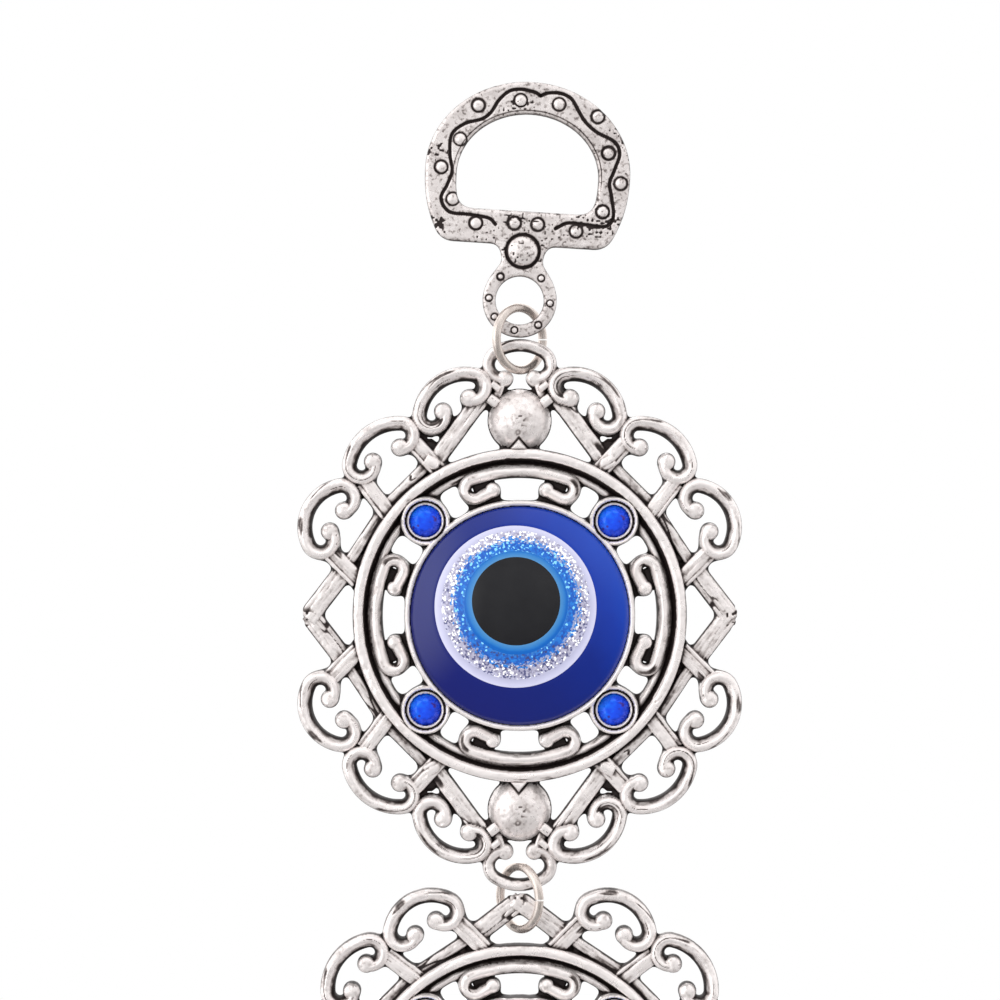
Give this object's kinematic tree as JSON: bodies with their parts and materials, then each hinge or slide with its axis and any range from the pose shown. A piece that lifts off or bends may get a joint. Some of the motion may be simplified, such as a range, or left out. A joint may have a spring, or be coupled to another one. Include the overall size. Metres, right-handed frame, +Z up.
{
  "type": "hanging evil eye ornament",
  "caption": "Wall charm: a D-shaped hanger above two filigree medallions with domed blue glass eyes and blue stones, joined by wire jump rings.",
  "frame": {"origin": "the point of the hanger's bow that rests on the nail or hook, straight above the first jump ring", "axes": "+Z up along the hanging chain, -Y towards the viewer (the face with the eyes), +X to the viewer's right"},
  "size_m": [0.062, 0.0081, 0.1401],
  "materials": {
    "antique_silver": "antique silver plating, satin on the high ground and blackened in the recesses",
    "wire_nickel": "bright drawn wire, slightly warm",
    "cobalt_glass": "deep cobalt, fully opaque, polished dome",
    "white_glaze": "opaque white under gloss",
    "silver_glitter": "silver flakes in clear resin",
    "azure_glitter": "azure flakes in clear resin",
    "sky_glaze": "sky blue under gloss",
    "black_glaze": "glossy black",
    "sapphire_stone": "foil-backed faceted sapphire blue, opaque",
    "epoxy": "clear yellowish glue"
  },
  "bodies": {
    "hanger": {"hanger": "antique_silver"},
    "upper_ring": {"upper_jump_ring": "wire_nickel"},
    "upper_medallion": {"upper_frame": "antique_silver", "upper_eye_adhesive": "epoxy", "upper_eye_glass_base": "cobalt_glass", "upper_eye_white_ring": "white_glaze", "upper_eye_glitter_ring": "silver_glitter", "upper_eye_azure_ring": "azure_glitter", "upper_eye_sky_ring": "sky_glaze", "upper_eye_pupil": "black_glaze", "upper_stone_1": "sapphire_stone", "upper_stone_2": "sapphire_stone", "upper_stone_3": "sapphire_stone", "upper_stone_4": "sapphire_stone"},
    "lower_ring": {"lower_jump_ring": "wire_nickel"},
    "lower_medallion": {"lower_frame": "antique_silver", "lower_eye_adhesive": "epoxy", "lower_eye_glass_base": "cobalt_glass", "lower_eye_white_ring": "white_glaze", "lower_eye_glitter_ring": "silver_glitter", "lower_eye_azure_ring": "azure_glitter", "lower_eye_sky_ring": "sky_glaze", "lower_eye_pupil": "black_glaze", "lower_stone_1": "sapphire_stone", "lower_stone_2": "sapphire_stone", "lower_stone_3": "sapphire_stone", "lower_stone_4": "sapphire_stone"}
  },
  "joints": [
    {"name": "upper_ring_swing", "type": "hinge", "parent": "hanger", "child": "upper_ring", "pos_m": [0, 0.0002, -0.02315], "axis": [1, 0, 0], "range_deg": [-45, 45]},
    {"name": "upper_medallion_swing", "type": "hinge", "parent": "upper_ring", "child": "upper_medallion", "pos_m": [0, 0, -0.0279], "axis": [0, 1, 0], "range_deg": [-16, 16]},
    {"name": "lower_ring_swing", "type": "hinge", "parent": "upper_medallion", "child": "lower_ring", "pos_m": [0, 0.0002, -0.08625], "axis": [1, 0, 0], "range_deg": [-40, 12]},
    {"name": "lower_medallion_swing", "type": "hinge", "parent": "lower_ring", "child": "lower_medallion", "pos_m": [0, 0, -0.091], "axis": [0, 1, 0], "range_deg": [-12, 12]}
  ]
}
